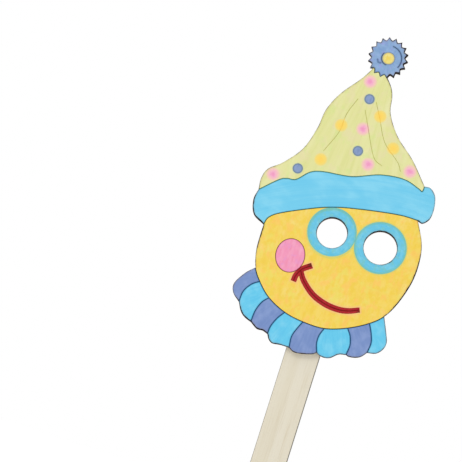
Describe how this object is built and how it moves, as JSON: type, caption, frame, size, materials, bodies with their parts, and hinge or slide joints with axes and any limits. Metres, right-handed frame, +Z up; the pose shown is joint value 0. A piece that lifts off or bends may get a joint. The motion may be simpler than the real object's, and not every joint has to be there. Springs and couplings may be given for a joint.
{
  "type": "craft stick puppet",
  "caption": "Flat clown-head puppet: engraved plywood coloured with marker ink, with round eye holes, pointed hat, pompom and ruffle, glued to a round-cornered craft stick.",
  "frame": {"origin": "centre of the stick's lower end", "axes": "+Z up along the stick, -Y the way the face looks, +X to the right of whoever looks at the face"},
  "size_m": [0.0966, 0.0053, 0.2744],
  "materials": {
    "stick_wood": "smooth, unvarnished",
    "glue": "dried craft glue",
    "outer_veneer": "sanded, unvarnished, laser-scorched at cuts",
    "core_veneer": "laser-cut edge",
    "blue_ink": "matte, marker ink on wood",
    "yellow_ink": "matte, marker ink on wood",
    "lime_ink": "matte, marker ink on wood",
    "pink_ink": "matte, marker ink on wood",
    "orange_ink": "matte, marker ink on wood",
    "sky_ink": "matte, marker ink on wood",
    "face_ink": "matte, marker ink on wood",
    "ring_ink": "matte, marker ink on wood",
    "cheek_ink": "matte, marker ink on wood",
    "crimson_ink": "matte, marker ink on wood",
    "periwinkle_ink": "matte, marker ink on wood"
  },
  "bodies": {
    "root": {"handle_stick": "stick_wood", "glue_film": "glue", "back_veneer": "outer_veneer", "core_veneer": "core_veneer", "front_veneer": "outer_veneer", "pompom_coat": "blue_ink", "pompom_spot_coat": "yellow_ink", "hat_coat": "lime_ink", "pink_dots_coat": "pink_ink", "blue_dots_coat": "blue_ink", "yellow_dots_coat": "orange_ink", "brim_coat": "sky_ink", "face_coat": "face_ink", "left_eye_ring_coat": "ring_ink", "right_eye_ring_coat": "ring_ink", "cheek_coat": "cheek_ink", "mouth_coat": "crimson_ink", "ruffle_coat_1": "periwinkle_ink", "ruffle_coat_2": "sky_ink", "ruffle_coat_3": "periwinkle_ink", "ruffle_coat_4": "sky_ink", "ruffle_coat_5": "periwinkle_ink", "ruffle_coat_6": "sky_ink", "ruffle_coat_7": "periwinkle_ink", "ruffle_coat_8": "sky_ink"}
  },
  "joints": []
}
